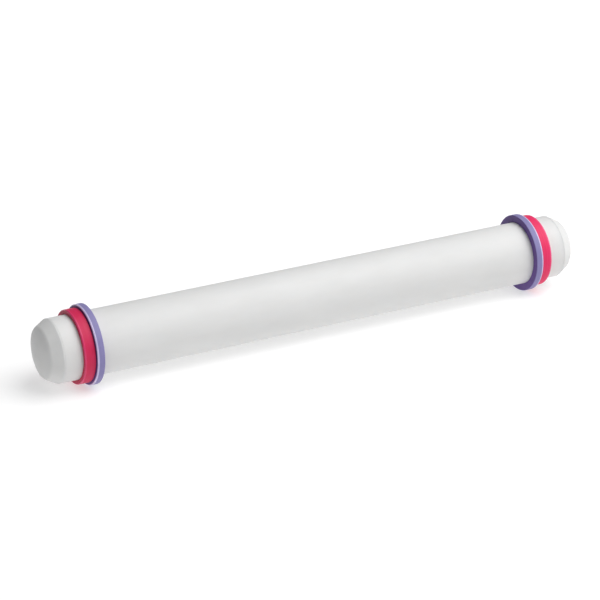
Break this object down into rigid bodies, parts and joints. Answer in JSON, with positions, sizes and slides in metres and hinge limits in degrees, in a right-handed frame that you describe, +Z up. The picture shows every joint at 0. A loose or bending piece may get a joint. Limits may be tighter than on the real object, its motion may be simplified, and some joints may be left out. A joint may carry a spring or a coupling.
{
  "type": "rolling pin",
  "caption": "Slim hand roller for icing or dough: a smooth tube with domed end plugs, and low and tall slip-on rings at each end that set the rolled thickness.",
  "frame": {"origin": "centre of the roller, on its axis and half-way between its two ends", "axes": "+X along the roller's axis towards its right-hand end, +Z up, +Y away from the user"},
  "size_m": [0.235, 0.0316, 0.0316],
  "materials": {
    "roller_plastic": "white polyethylene, satin, non-stick",
    "plug_plastic": "white moulded polyethylene, satin",
    "thick_ring_rubber": "lavender silicone rubber, matt",
    "thin_ring_rubber": "pink silicone rubber, matt"
  },
  "bodies": {
    "roller": {"roller_tube": "roller_plastic", "left_end_plug": "plug_plastic", "right_end_plug": "plug_plastic"},
    "left_thick_ring": {"left_thick_guide_ring": "thick_ring_rubber"},
    "left_thin_ring": {"left_thin_guide_ring": "thin_ring_rubber"},
    "right_thick_ring": {"right_thick_guide_ring": "thick_ring_rubber"},
    "right_thin_ring": {"right_thin_guide_ring": "thin_ring_rubber"}
  },
  "joints": [
    {"name": "left_thick_ring_slide", "type": "slide", "parent": "roller", "child": "left_thick_ring", "axis": [-1, 0, 0], "range_m": [-0.094, 0.03]},
    {"name": "left_thin_ring_slide", "type": "slide", "parent": "left_thick_ring", "child": "left_thin_ring", "axis": [-1, 0, 0], "range_m": [0, 0.025]},
    {"name": "right_thick_ring_slide", "type": "slide", "parent": "roller", "child": "right_thick_ring", "axis": [1, 0, 0], "range_m": [-0.094, 0.03]},
    {"name": "right_thin_ring_slide", "type": "slide", "parent": "right_thick_ring", "child": "right_thin_ring", "axis": [1, 0, 0], "range_m": [0, 0.025]}
  ]
}
